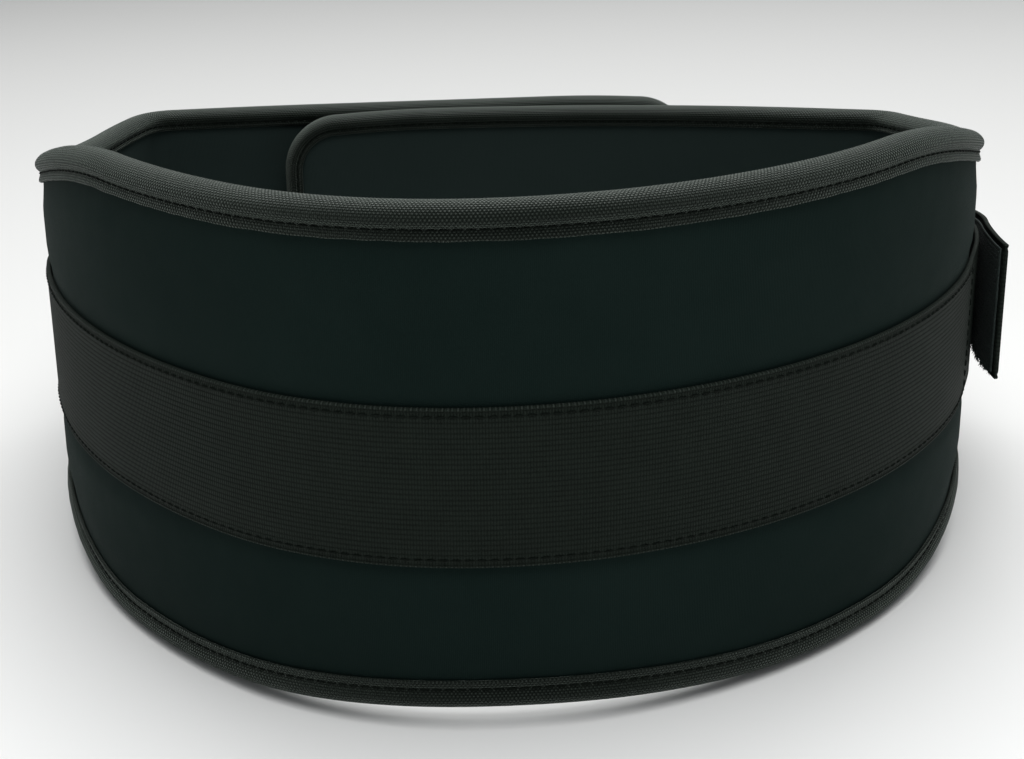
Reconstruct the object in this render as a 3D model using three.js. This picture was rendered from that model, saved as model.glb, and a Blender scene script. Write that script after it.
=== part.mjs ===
// Foam-core lifting belt, fastened and stood on its edge. Millimetres, +Z up.
// The belt is laid out flat first (s along it, z up it, n out of its face) and then bent to its plan.
import * as THREE from 'three';

// Flat pattern. Heights run from the middle line of the strap to the outside of the binding.
const BACK_TOP = 84.7;
const BACK_DROP = 77.6;
const END_TOP = 61.3;
const END_DROP = 61.3;
const BACK_ARCH = 4.2;
const ARCH_RUN = 110;
const SHOULDER_START = 139;
const TOP_SHOULDER = 134;
const BOTTOM_SHOULDER = 136;
const END_CORNER_R = 23;
const END_TAPER = 1.3;
const TAPER_RUN = 37;
const PANEL_T = 8;
const BINDING_T = 1.1;
const BINDING_ROLL = 0.9;
const OUTER_FACE_W = 10.6;
const INNER_FACE_W = 7.4;

// Plan of the closed belt.
const BACK_R = 179;
const BACK_SHIFT = -7;
const OUTER_SIDE = 1;
const HINGE_R = 15;
const REAR_R = 900;
const OVERLAP = 171.6;
const OUTER_END_X = 79;

// How the closed belt settles: its walls lean sideways, in millimetres for each one up, and the
// fastened ends sag over a stretch of its depth.
const SIDE_LEAN = 0.0196;
const REAR_SAG = 11;
const SAG_START = 140;
const SAG_END = 250;

// Strap and its ring.
const STRAP_W = 50;
const STRAP_T = 1.6;
const SEWN_END = 217;
const SIDE_SLACK = 5;
const FOLD_RETURN = 36;
const RING_BAR_R = 2.2;
const RING_SLOT = 16;
const RING_CORNER_R = 4;
const RING_FROM_END = 24;
const RING_SIDE_CLEARANCE = 1.6;

// Loose tip of the strap, with the hook tape sewn inside it.
const TIP_START = 42;
const TIP_L = 35;
const TIP_SPREAD = 4.5;
const TIP_LIFT = 3;
const HOOK_T = 1.2;
const HOOK_W = 46;
const HOOK_L = 98;
const HOOK_INSET = 2;

// Clearances between pieces that touch.
const SEWN_GAP = 0.3;
const LAP_GAP = 3;

// Mesh steps.
const RAD = Math.PI / 180;
const LONG_STEP = 11;
const TURN_STEP = 12 * RAD;
const CORNER_STEPS = 6;
const WRAP_STEPS = 10;
const TAIL_STEPS = 44;
const TIP_STEPS = 5;
const BAR_SIDES = 10;

// Bends of each half, from the middle of the back to its end. Turns are in degrees.
const OUTER_BENDS = [
  { radius: 0.682 * BACK_R, turn: 39.9 },
  { radius: 1.264 * BACK_R, turn: 68.8 },
  { side: true },
  { radius: HINGE_R, turn: 67.1, hinge: true },
  { radius: REAR_R, turn: 4 },
];
const INNER_BENDS = [
  { radius: 0.85 * BACK_R, turn: 18.4 },
  { radius: BACK_R, turn: 89.8 },
  { side: true },
  { radius: HINGE_R, turn: 53, hinge: true },
  { radius: 0.62 * REAR_R, turn: 19 },
];

// Free part of the strap on the bare side: share of that side, and share of the slack.
const SIDE_KNOTS = [
  { run: 0, stand: 0 },
  { run: 0.22, stand: 0.35 },
  { run: 0.46, stand: 0.82 },
  { run: 0.72, stand: 1 },
  { run: 1, stand: 0.45 },
];

// Half section of the binding's roll: shares of its depth and of its half thickness.
const ROLL_SECTION = [
  { out: -1, across: 1 },
  { out: -0.45, across: 0.88 },
  { out: -0.12, across: 0.5 },
];

// What the pieces stand off from one another, worked out from the sizes above.
const bindingSeat = PANEL_T / 2 + SEWN_GAP;
const bindingFace = bindingSeat + BINDING_T;
const bindingHalf = bindingFace + BINDING_ROLL;
const panelInset = BINDING_T + BINDING_ROLL + SEWN_GAP;
const lapStep = 2 * bindingHalf + LAP_GAP;
const sewnN = PANEL_T / 2 + SEWN_GAP + STRAP_T / 2;
const overBindingN = bindingHalf + SEWN_GAP + STRAP_T / 2;
const wrapR = RING_BAR_R + SEWN_GAP + STRAP_T / 2;
const ringN = sewnN + wrapR;
const layerStep = STRAP_T + SEWN_GAP;
const hookStep = layerStep + HOOK_T + SEWN_GAP;

// Place and heading after a length t along one row of a half's plan.
function alongRow(row, t, side) {
  if (row.turn === 0) {
    const x = row.x + side * t * Math.cos(row.heading);
    return { x, y: row.y + t * Math.sin(row.heading), heading: row.heading };
  }
  const heading = row.heading + row.turn * t / row.length;
  const r = row.length / row.turn;
  const x = row.x + side * r * (Math.sin(heading) - Math.sin(row.heading));
  return { x, y: row.y - r * (Math.cos(heading) - Math.cos(row.heading)), heading };
}

// One half of the belt in plan, as rows of arcs and straights with the length where each starts.
function layHalf(side, bends, sideRun, endX) {
  const rows = [];
  let place = { x: BACK_SHIFT, y: 0, heading: 0 };
  let from = 0;
  const add = (length, turn, hinge = false) => {
    const row = { from, length, turn, hinge, ...place };
    rows.push(row);
    place = alongRow(row, length, side);
    from += length;
  };
  for (const bend of bends) {
    if (bend.side) add(sideRun, 0);
    else add(bend.radius * bend.turn * RAD, bend.turn * RAD, bend.hinge);
  }
  add(Math.abs(endX - place.x), 0);
  return { side, rows, length: from, y: place.y };
}

// The inner half's straight side run brings its end against the inside of the outer half's end.
const innerEndX = OUTER_END_X - OVERLAP;
const outerHalf = layHalf(-1, OUTER_BENDS, OUTER_SIDE, OUTER_END_X);
const trialHalf = layHalf(1, INNER_BENDS, 1, innerEndX);
const sideHeading = trialHalf.rows.find((row) => row.turn === 0).heading;
const sideRun = 1 + (outerHalf.y - lapStep - trialHalf.y) / Math.sin(sideHeading);
const innerHalf = layHalf(1, INNER_BENDS, sideRun, innerEndX);

// The wall's middle in plan at s: negative on the outer half, positive on the inner one.
function bend(s, z, n) {
  const half = s < 0 ? outerHalf : innerHalf;
  const run = Math.abs(s);
  const row = half.rows.findLast((r) => r.from <= run);
  const p = alongRow(row, run - row.from, half.side);
  const x = p.x + n * half.side * Math.sin(p.heading);
  return new THREE.Vector3(x, p.y - n * Math.cos(p.heading), z);
}

// A point of the closed belt after it has settled.
function settle(p) {
  const sag = REAR_SAG * THREE.MathUtils.smoothstep(p.y, SAG_START, SAG_END);
  return new THREE.Vector3(p.x + SIDE_LEAN * p.z, p.y, p.z - sag);
}

// Outline heights of the belt in the flat. Each end tapers up to where its corners start.
function taperAt(s) {
  const half = s < 0 ? outerHalf : innerHalf;
  const past = THREE.MathUtils.clamp(1 + (Math.abs(s) - half.length + END_CORNER_R) / TAPER_RUN, 0, 1);
  return END_TAPER * past ** 2;
}

function topAt(s) {
  const fall = THREE.MathUtils.smoothstep(Math.abs(s), SHOULDER_START, SHOULDER_START + TOP_SHOULDER);
  return THREE.MathUtils.lerp(BACK_TOP, END_TOP, fall) - taperAt(s);
}

function bottomAt(s) {
  const fall = THREE.MathUtils.smoothstep(Math.abs(s), SHOULDER_START, SHOULDER_START + BOTTOM_SHOULDER);
  const arch = BACK_ARCH * (1 - THREE.MathUtils.smoothstep(Math.abs(s), 0, ARCH_RUN));
  return arch + taperAt(s) - THREE.MathUtils.lerp(BACK_DROP, END_DROP, fall);
}

// Lengths where a run of the belt is cut into flat steps, finer where it bends sharply.
function stepsBetween(from, to) {
  const cuts = [from];
  for (const half of [outerHalf, innerHalf]) {
    for (const row of half.rows) {
      const pieces = Math.ceil(Math.max(row.length / LONG_STEP, row.turn / TURN_STEP));
      for (let k = 0; k < pieces; k += 1) cuts.push(half.side * (row.from + row.length * k / pieces));
    }
  }
  const inside = cuts.filter((s) => s >= from && s < to - 1).sort((a, b) => a - b);
  return [...inside.filter((s, k) => k === 0 || s - inside[k - 1] > 1), to];
}

// Closed body from rings of points, joined in order: the last to the first, or capped at both ends.
function ringSolid(rings, looped) {
  const across = rings[0].length;
  const joins = looped ? rings.length : rings.length - 1;
  const index = [];
  for (let i = 0; i < joins; i += 1) {
    const next = (i + 1) % rings.length;
    for (let j = 0; j < across; j += 1) {
      const side = (j + 1) % across;
      const [a, b] = [i * across + j, i * across + side];
      const [c, d] = [next * across + j, next * across + side];
      index.push(a, b, d, a, d, c);
    }
  }
  if (!looped) {
    const end = (rings.length - 1) * across;
    for (let j = 1; j < across - 1; j += 1) index.push(0, j + 1, j, end, end + j, end + j + 1);
  }
  const points = rings.flat().map(settle);
  const geometry = new THREE.BufferGeometry().setFromPoints(points);
  geometry.setIndex(enclosedVolume(points, index) < 0 ? index.reverse() : index);
  geometry.computeVertexNormals();
  return geometry;
}

function enclosedVolume(points, index) {
  let volume = 0;
  for (let k = 0; k < index.length; k += 3) {
    const [a, b, c] = index.slice(k, k + 3).map((i) => points[i]);
    volume += a.dot(b.clone().cross(c)) / 6;
  }
  return volume;
}

// Foam panel: it stops inside the binding's fold and has the same rounded corners.
const panelCornerR = END_CORNER_R - panelInset;
const panelStart = panelInset - outerHalf.length;
const panelEnd = innerHalf.length - panelInset;

function panelStations() {
  const corner = [];
  for (let k = 0; k < CORNER_STEPS; k += 1) {
    corner.push(panelCornerR * (1 - Math.cos(Math.PI / 2 * k / CORNER_STEPS)));
  }
  const body = stepsBetween(panelStart + panelCornerR, panelEnd - panelCornerR);
  return [...corner.map((t) => panelStart + t), ...body, ...corner.map((t) => panelEnd - t).reverse()];
}

function makePanel() {
  const half = PANEL_T / 2;
  const rings = panelStations().map((s) => {
    const past = Math.max(0, panelCornerR - Math.min(s - panelStart, panelEnd - s));
    const rounded = panelCornerR - Math.sqrt(Math.max(0, panelCornerR ** 2 - past ** 2));
    const low = bottomAt(s) + panelInset + rounded;
    const high = topAt(s) - panelInset - rounded;
    return [bend(s, low, half), bend(s, high, half), bend(s, high, -half), bend(s, low, -half)];
  });
  return ringSolid(rings, false);
}

// Outline of the belt in the flat: each point with the direction that faces out of the edge.
function outline() {
  const first = END_CORNER_R - outerHalf.length;
  const last = innerHalf.length - END_CORNER_R;
  const points = [];
  const corner = (s, z, startTurn) => {
    for (let k = 0; k <= CORNER_STEPS; k += 1) {
      const a = startTurn - Math.PI / 2 * k / CORNER_STEPS;
      const [outS, outZ] = [Math.cos(a), Math.sin(a)];
      points.push({ s: s + END_CORNER_R * outS, z: z + END_CORNER_R * outZ, outS, outZ });
    }
  };
  const along = (stations, heightAt, up) => {
    for (const s of stations) {
      const slope = heightAt(s + 0.5) - heightAt(s - 0.5);
      const length = Math.hypot(1, slope);
      points.push({ s, z: heightAt(s), outS: -up * slope / length, outZ: up / length });
    }
  };
  const stations = stepsBetween(first, last).slice(1, -1);
  along(stations, topAt, 1);
  corner(last, topAt(last) - END_CORNER_R, Math.PI / 2);
  corner(last, bottomAt(last) + END_CORNER_R, 0);
  along(stations.reverse(), bottomAt, -1);
  corner(first, bottomAt(first) + END_CORNER_R, -Math.PI / 2);
  corner(first, topAt(first) - END_CORNER_R, -Math.PI);
  return points;
}

// Edge binding: tape folded over the panel's edge all the way round.
function makeBinding() {
  const side = (face, width) => [
    { out: -width, across: face * bindingFace },
    ...ROLL_SECTION.map((p) => ({ out: p.out * bindingHalf, across: face * p.across * bindingHalf })),
  ];
  const fold = (face, width) => [
    { out: -width, across: face * bindingSeat },
    { out: -panelInset + SEWN_GAP, across: face * bindingSeat },
  ];
  const section = [
    ...side(1, OUTER_FACE_W),
    { out: 0, across: 0 },
    ...side(-1, INNER_FACE_W).reverse(),
    ...fold(-1, INNER_FACE_W),
    ...fold(1, OUTER_FACE_W).reverse(),
  ];
  const rings = outline().map((e) => (
    section.map((p) => bend(e.s + p.out * e.outS, e.z + p.out * e.outZ, p.across))));
  return ringSolid(rings, true);
}

// Plan points of the strap's middle.
function onWall(s, n) {
  const p = bend(s, 0, n);
  return new THREE.Vector2(p.x, p.y);
}

const farBarS = RING_FROM_END - outerHalf.length;
const nearBarS = farBarS + RING_SLOT + 2 * RING_BAR_R;

// Half turn of webbing round a bar of the ring, on the bar's slot side.
function wrapBar(barS, slotSide, startTurn) {
  const turns = [];
  for (let k = 0; k <= WRAP_STEPS; k += 1) {
    const a = startTurn * (1 - 2 * k / WRAP_STEPS);
    turns.push(onWall(barS + slotSide * wrapR * Math.cos(a), ringN + wrapR * Math.sin(a)));
  }
  return turns;
}

// The return that is sewn down over the strap, then the fold round the near bar.
function foldPath() {
  const flat = sewnN + layerStep;
  const crest = ringN + wrapR;
  const knots = [
    onWall(nearBarS + FOLD_RETURN, flat),
    onWall(nearBarS + 0.7 * FOLD_RETURN, flat),
    onWall(nearBarS + 0.45 * FOLD_RETURN, flat + 0.06 * (crest - flat)),
    onWall(nearBarS + 0.2 * FOLD_RETURN, flat + 0.75 * (crest - flat)),
    onWall(nearBarS, crest),
  ];
  const rise = new THREE.SplineCurve(knots).getPoints(2 * knots.length);
  return [...rise.slice(0, -1), ...wrapBar(nearBarS, -1, Math.PI / 2)];
}

// The strap beyond its sewn end: slack at the side, close round the hinge, over the outer end.
function tailPath() {
  const hinge = innerHalf.rows.find((row) => row.hinge);
  const hingeEnd = hinge.from + hinge.length;
  const sideLength = hinge.from - SEWN_END;
  const climb = onWall(hingeEnd, 0).x - OUTER_END_X;
  const close = sewnN + SEWN_GAP;
  const knots = [
    ...SIDE_KNOTS.map((k) => onWall(SEWN_END + k.run * sideLength, sewnN + k.stand * SIDE_SLACK)),
    onWall(hinge.from + hinge.length / 2, close),
    onWall(hingeEnd, close + 0.12 * lapStep),
    onWall(hingeEnd + 0.5 * climb, close + 0.62 * lapStep),
    onWall(-outerHalf.length - 0.1 * climb, overBindingN + SEWN_GAP),
    onWall(OUTER_FACE_W / 2 - outerHalf.length, overBindingN + SEWN_GAP),
    onWall(OUTER_FACE_W + 2 * STRAP_T - outerHalf.length, overBindingN - BINDING_ROLL),
    onWall(farBarS, sewnN),
  ];
  return new THREE.SplineCurve(knots).getSpacedPoints(TAIL_STEPS);
}

// Unit direction out of the belt beside a plan path that runs from the sewn end to the ring.
function outwards(path, k) {
  const along = path[Math.min(path.length - 1, k + 1)].clone().sub(path[Math.max(0, k - 1)]).normalize();
  return new THREE.Vector2(along.y, -along.x);
}

// The strap's way back over itself from the far bar, then its tip, which stands away by itself.
function returnPath(tail) {
  const tailStep = tail[1].distanceTo(tail[0]);
  const back = [];
  for (let k = tail.length - 1; k * tailStep >= TIP_START; k -= 1) {
    const fromRing = 1 - k / (tail.length - 1);
    const eased = THREE.MathUtils.smoothstep(fromRing, 0, 0.2);
    const step = THREE.MathUtils.lerp(2 * wrapR, hookStep, eased);
    back.push(tail[k].clone().addScaledVector(outwards(tail, k), step));
  }
  const root = back[back.length - 1];
  const ahead = root.clone().sub(back[back.length - 2]).normalize();
  const outward = new THREE.Vector2(-ahead.y, ahead.x);
  for (let k = 1; k <= TIP_STEPS; k += 1) {
    const t = k / TIP_STEPS;
    back.push(root.clone().addScaledVector(ahead, t * TIP_L).addScaledVector(outward, t * t * TIP_SPREAD));
  }
  return back;
}

// Flat webbing along a plan path: its middle height may change along the way.
function makeRibbon(path, thickness, width, middleAt) {
  const rings = path.map((p, k) => {
    const out = outwards(path, k).multiplyScalar(thickness / 2);
    const middle = middleAt(k);
    return [[1, -1], [1, 1], [-1, 1], [-1, -1]].map(([side, up]) => (
      new THREE.Vector3(p.x + side * out.x, p.y + side * out.y, middle + up * width / 2)));
  });
  return ringSolid(rings, false);
}

const tail = tailPath();
const wayBack = returnPath(tail);

const liftAt = (k) => TIP_LIFT * THREE.MathUtils.smoothstep(k / (wayBack.length - 1), 0, 1);

function makeStrap() {
  const held = [
    ...foldPath(),
    ...stepsBetween(nearBarS + wrapR, SEWN_END).map((s) => onWall(s, sewnN)),
    ...tail.slice(1, -1),
    ...wrapBar(farBarS, 1, -Math.PI / 2),
  ];
  const path = [...held, ...wayBack.slice(1)];
  return makeRibbon(path, STRAP_T, STRAP_W, (k) => (k < held.length ? 0 : liftAt(k - held.length + 1)));
}

// Hook tape inside the last stretch of the strap, up to just short of the tip.
function makeHookTape() {
  const tip = wayBack.length - 1;
  let start = tip;
  for (let run = 0; run < HOOK_L && start > 1; start -= 1) {
    run += wayBack[start].distanceTo(wayBack[start - 1]);
  }
  const stretch = [];
  for (let k = start; k <= tip; k += 1) {
    stretch.push(wayBack[k].clone().addScaledVector(outwards(wayBack, k), hookStep / 2));
  }
  const lastStep = stretch[stretch.length - 1].clone().sub(stretch[stretch.length - 2]).normalize();
  stretch[stretch.length - 1].addScaledVector(lastStep, -HOOK_INSET);
  return makeRibbon(stretch, HOOK_T, HOOK_W, (k) => liftAt(k + start));
}

// Ring: one round bar bent to a rectangle, lying flat along the outer end.
function makeRing() {
  const middle = bend((farBarS + nearBarS) / 2, 0, ringN);
  const ahead = bend(nearBarS, 0, ringN).sub(middle).normalize();
  const out = new THREE.Vector3(ahead.y, -ahead.x, 0).negate();
  const reach = RING_SLOT / 2 + RING_BAR_R - RING_CORNER_R;
  const height = STRAP_W / 2 + RING_SIDE_CLEARANCE + RING_BAR_R - RING_CORNER_R;
  const corners = [[1, 1, 0], [-1, 1, 1], [-1, -1, 2], [1, -1, 3]];
  const rings = [];
  for (const [along, up, quarter] of corners) {
    for (let k = 0; k <= CORNER_STEPS; k += 1) {
      const a = Math.PI / 2 * (quarter + k / CORNER_STEPS);
      const spoke = ahead.clone().multiplyScalar(Math.cos(a)).setZ(Math.sin(a));
      const centre = middle.clone().addScaledVector(ahead, along * reach);
      centre.addScaledVector(spoke, RING_CORNER_R);
      centre.z += up * height;
      rings.push(barRing(centre, spoke, out));
    }
  }
  return ringSolid(rings, true);
}

function barRing(centre, spoke, out) {
  const ring = [];
  for (let k = 0; k < BAR_SIDES; k += 1) {
    const a = 2 * Math.PI * k / BAR_SIDES;
    ring.push(centre.clone()
      .addScaledVector(spoke, RING_BAR_R * Math.cos(a))
      .addScaledVector(out, RING_BAR_R * Math.sin(a)));
  }
  return ring;
}

// Materials
const knit = new THREE.MeshStandardMaterial({ color: 0x19241f, roughness: 0.85, metalness: 0 });
const tape = new THREE.MeshStandardMaterial({ color: 0x232823, roughness: 0.8, metalness: 0 });
const webbing = new THREE.MeshStandardMaterial({ color: 0x171b17, roughness: 0.8, metalness: 0 });
const hooks = new THREE.MeshStandardMaterial({ color: 0x14181a, roughness: 0.9, metalness: 0 });
const steel = new THREE.MeshStandardMaterial({ color: 0x8d9092, roughness: 0.35, metalness: 1 });

function piece(name, geometry, material) {
  const mesh = new THREE.Mesh(geometry, material);
  mesh.name = name;
  return mesh;
}

const worn = new THREE.Group();
worn.add(
  piece('panel', makePanel(), knit),
  piece('binding', makeBinding(), tape),
  piece('strap', makeStrap(), webbing),
  piece('hook_tape', makeHookTape(), hooks),
  piece('ring', makeRing(), steel),
);

// The belt stands on both shoulders of its back and on the bottom of its ends, so it leans a little.
function restingNormal(points, middleY) {
  const areas = [
    (p) => p.y < middleY && p.x < BACK_SHIFT,
    (p) => p.y < middleY && p.x > BACK_SHIFT,
    (p) => p.y > middleY,
  ];
  const normal = new THREE.Vector3(0, 0, 1);
  for (let round = 0; round < 8; round += 1) {
    const lowest = (low, p) => (p.dot(normal) < low.dot(normal) ? p : low);
    const [left, right, rear] = areas.map((inside) => points.filter(inside).reduce(lowest));
    normal.crossVectors(right.clone().sub(left), rear.clone().sub(left)).normalize();
  }
  return normal;
}

const corners = worn.children.flatMap((mesh) => {
  const place = mesh.geometry.getAttribute('position');
  return Array.from({ length: place.count }, (_, k) => new THREE.Vector3().fromBufferAttribute(place, k));
});
const up = restingNormal(corners, outerHalf.y / 2);
worn.quaternion.setFromUnitVectors(up, new THREE.Vector3(0, 0, 1));

const stood = new THREE.Box3().setFromPoints(corners.map((p) => p.applyQuaternion(worn.quaternion)));
const belt = new THREE.Group();
belt.add(worn);
belt.position.set(-(stood.min.x + stood.max.x) / 2, -(stood.min.y + stood.max.y) / 2, -stood.min.z);

export default belt;
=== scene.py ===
import math
import random

import bmesh
import bpy
import numpy as np
from mathutils import Matrix, Vector, noise


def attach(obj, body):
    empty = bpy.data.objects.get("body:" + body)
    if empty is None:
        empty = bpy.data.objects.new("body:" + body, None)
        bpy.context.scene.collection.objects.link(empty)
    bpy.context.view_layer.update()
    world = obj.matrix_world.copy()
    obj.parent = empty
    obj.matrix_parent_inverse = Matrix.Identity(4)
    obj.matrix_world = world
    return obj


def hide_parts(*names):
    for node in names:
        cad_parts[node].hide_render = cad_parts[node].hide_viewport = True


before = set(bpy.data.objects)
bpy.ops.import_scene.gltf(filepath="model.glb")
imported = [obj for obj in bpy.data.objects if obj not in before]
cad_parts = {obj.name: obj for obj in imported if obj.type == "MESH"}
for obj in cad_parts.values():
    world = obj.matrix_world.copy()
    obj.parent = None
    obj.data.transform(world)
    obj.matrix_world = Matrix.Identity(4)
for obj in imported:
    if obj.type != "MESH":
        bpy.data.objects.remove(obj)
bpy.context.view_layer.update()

random.seed(7)
MM = 0.001

# Flat pattern of the belt, as in the part's source: heights run from the middle line of the strap.
BACK_TOP = 84.7 * MM
BACK_DROP = 77.6 * MM
END_TOP = 61.3 * MM
END_DROP = 61.3 * MM
BACK_ARCH = 4.2 * MM
ARCH_RUN = 110 * MM
SHOULDER_START = 139 * MM
TOP_SHOULDER = 134 * MM
BOTTOM_SHOULDER = 136 * MM
END_CORNER_R = 23 * MM
END_TAPER = 1.3 * MM
TAPER_RUN = 37 * MM
PANEL_T = 8 * MM
BINDING_T = 1.1 * MM
BINDING_ROLL = 0.9 * MM
OUTER_FACE_W = 10.6 * MM

# Plan of the closed belt. Bends are a radius and a turn in degrees; each half has one straight.
BACK_R = 179 * MM
BACK_SHIFT = -7 * MM
OUTER_SIDE = 1 * MM
HINGE_R = 15 * MM
REAR_R = 900 * MM
OVERLAP = 171.6 * MM
OUTER_END_X = 79 * MM
OUTER_BENDS = [(0.682 * BACK_R, 39.9), (1.264 * BACK_R, 68.8), (None, 0), (HINGE_R, 67.1), (REAR_R, 4)]
INNER_BENDS = [(0.85 * BACK_R, 18.4), (BACK_R, 89.8), (None, 0), (HINGE_R, 53), (0.62 * REAR_R, 19)]

# How the closed belt settles: its walls lean sideways and its fastened ends sag.
SIDE_LEAN = 0.0196
REAR_SAG = 11 * MM
SAG_START = 140 * MM
SAG_END = 250 * MM

# Strap, ring and hook tape.
STRAP_W = 50 * MM
STRAP_T = 1.6 * MM
SEWN_END = 217 * MM
SIDE_SLACK = 5 * MM
FOLD_RETURN = 36 * MM
RING_BAR_R = 2.2 * MM
RING_SLOT = 16 * MM
RING_CORNER_R = 4 * MM
RING_FROM_END = 24 * MM
RING_SIDE_CLEARANCE = 1.6 * MM
TIP_START = 42 * MM
TIP_L = 35 * MM
TIP_SPREAD = 4.5 * MM
TIP_LIFT = 3 * MM
HOOK_T = 1.2 * MM
HOOK_W = 46 * MM
HOOK_L = 98 * MM
HOOK_INSET = 2 * MM
SEWN_GAP = 0.3 * MM
LAP_GAP = 3 * MM
SIDE_KNOTS = [(0, 0), (0.22, 0.35), (0.46, 0.82), (0.72, 1), (1, 0.45)]

# Places across the wall, from the middle of the panel.
binding_half = PANEL_T / 2 + SEWN_GAP + BINDING_T + BINDING_ROLL
panel_inset = BINDING_T + BINDING_ROLL + SEWN_GAP
lap_step = 2 * binding_half + LAP_GAP
sewn_n = PANEL_T / 2 + SEWN_GAP + STRAP_T / 2
over_binding_n = binding_half + SEWN_GAP + STRAP_T / 2
wrap_r = RING_BAR_R + SEWN_GAP + STRAP_T / 2
ring_n = sewn_n + wrap_r
layer_step = STRAP_T + SEWN_GAP
hook_step = layer_step + HOOK_T + SEWN_GAP

# Fineness of the meshes.
PANEL_STEP = 4 * MM
TAPE_STEP = 1.2 * MM
STRAP_STEP = 2 * MM
EDGE_STEPS = 400
CORNER_STEPS = 24
ROUNDING_STEPS = 10
RIM_ROWS = 11
BAR_STEPS = 24
FOLD_STEPS = 22
TAIL_STEPS = 176
TIP_STEPS = 16
KNOT_STEPS = 40
RING_CORNER_STEPS = 8
RING_SIDES = 20

# Sewing: rows of stitches run so far inside the edge of the cloth that they hold.
STITCH_PITCH = 3.6 * MM
STITCH_LENGTH = 2.8 * MM
STITCH_LIFT = 0.35 * MM
THREAD_R = 0.3 * MM
BINDING_STITCH_IN = 7.5 * MM
INSIDE_STITCH_IN = 5.4 * MM
BINDING_STITCH_N = 4.6 * MM
BINDING_DIMPLE_W = 0.8 * MM
STRAP_STITCH_IN = 2.5 * MM
STRAP_STITCH_SUNK = 0.1 * MM
TIP_STITCH_IN = 2 * MM

# Softness of the foam panel: how far its binding reaches in, and the depths and widths of its
# swellings, creases and waves.
TAPE_REACH = 9 * MM
FACE_PUFF = 1.1 * MM
FACE_WAVE = 0.45 * MM
FACE_WAVE_W = 42 * MM
RIM_THINNING = 0.5 * MM
SEAM_CREASE = 0.55 * MM
SEAM_CREASE_W = 1.1 * MM
HINGE_CREASE = 0.9 * MM
HINGE_CREASE_W = 2.6 * MM
HINGE_DIP = 0.4 * MM
HINGE_DIP_W = 8 * MM

# Weaves, and the flat map's offset that tells the panel's lining from its outer face.
KNIT_WALE = 0.55 * MM
KNIT_COURSE = 0.45 * MM
STRAP_RIB = 0.9 * MM
STRAP_ROW = 1.6 * MM
STRAP_BEAD = 1.5 * MM
STRAP_WAVE = 0.1 * MM
TAPE_FLOAT = 1.15 * MM
TAPE_ROW = 0.85 * MM
# Width of the painted highlight on either side of the binding tape's fold.
FOLD_HIGHLIGHT_W = 6 * MM
LINING_V = 1.0

# Hooks of the hook tape, and the frayed ends along its lower edge.
HOOK_ROWS = 26
HOOK_BASE_T = 0.55 * MM
HOOK_THREAD_R = 0.16 * MM
FRAYED_ENDS = 140

# Camera, fitted to the photo with the strap's width as the scale: places from the middle of the back.
CAMERA_X = 0.2 * MM
CAMERA_BACK = 503.5 * MM
CAMERA_UP = 221.1 * MM
CAMERA_PITCH = math.radians(20.64)
CAMERA_ROLL = math.radians(-1.9)
CAMERA_LENS = 66.5
CAMERA_SENSOR = 36

# Soft lamps, in metres and watts. Columns: name, place, aim, size, power.
LAMPS = [
    ("overhead", (0.12, -0.35, 1.8), (0.05, -0.35, 0), (2.0, 1.6), 33),
    ("back_top", (0, 1.1, 1.3), (0, 0, 0.1), (2.0, 0.9), 22),
]
SKY_COLOUR = (0.93, 0.97, 1.0)
SKY_STRENGTH = 0.3
FLOOR_SIZE = 4


# Plan of the belt

def along_row(row, run):
    """Place and heading a length `run` along one arc or straight of a half's plan."""
    length, turn, x, y, heading, side = row[1:]
    if turn == 0:
        return x + side * run * math.cos(heading), y + run * math.sin(heading), heading
    ahead = heading + turn * run / length
    r = length / turn
    x += side * r * (math.sin(ahead) - math.sin(heading))
    return x, y - r * (math.cos(ahead) - math.cos(heading)), ahead


def lay_half(side, bends, side_run, end_x):
    """Rows of one half of the belt in plan, its whole length and the depth of its end."""
    rows = []
    place = (BACK_SHIFT, 0, 0)
    start = 0
    for radius, degrees in bends:
        turn = math.radians(degrees)
        length = radius * turn if radius else side_run
        rows.append((start, length, turn, *place, side))
        place = along_row(rows[-1], length)
        start += length
    straight = abs(end_x - place[0])
    rows.append((start, straight, 0, *place, side))
    return rows, start + straight, place[1]


outer_rows, outer_length, outer_y = lay_half(-1, OUTER_BENDS, OUTER_SIDE, OUTER_END_X)
trial_y = lay_half(1, INNER_BENDS, MM, OUTER_END_X - OVERLAP)[2]
side_heading = math.radians(INNER_BENDS[0][1] + INNER_BENDS[1][1])
side_run = MM + (outer_y - lap_step - trial_y) / math.sin(side_heading)
inner_rows, inner_length = lay_half(1, INNER_BENDS, side_run, OUTER_END_X - OVERLAP)[:2]
HINGE_ROW = 3
OUTER_HINGE = outer_rows[HINGE_ROW][0] + outer_rows[HINGE_ROW][1] / 2
INNER_HINGE = inner_rows[HINGE_ROW][0] + inner_rows[HINGE_ROW][1] / 2


def bend(s, z, n):
    """A point of the flat pattern on the closed belt: s runs negative along the outer half."""
    rows = outer_rows if s < 0 else inner_rows
    run = abs(s)
    row = [r for r in rows if r[0] <= run][-1]
    x, y, heading = along_row(row, run - row[0])
    return Vector((x + n * row[-1] * math.sin(heading), y - n * math.cos(heading), z))


def smooth(value, low, high):
    """Eased share from 0 at low to 1 at high."""
    t = min(1, max(0, (value - low) / (high - low)))
    return t * t * (3 - 2 * t)


def mix(a, b, t):
    """The value a share t of the way from a to b."""
    return a + (b - a) * t


def dip(distance, width):
    """A round dip, 1 at its middle and fading out about `width` away."""
    return math.exp(-(distance / width) ** 2)


def taper_at(s):
    """How much each edge draws in towards a round end."""
    length = outer_length if s < 0 else inner_length
    past = 1 + (abs(s) - length + END_CORNER_R) / TAPER_RUN
    return END_TAPER * min(1, max(0, past)) ** 2


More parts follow.
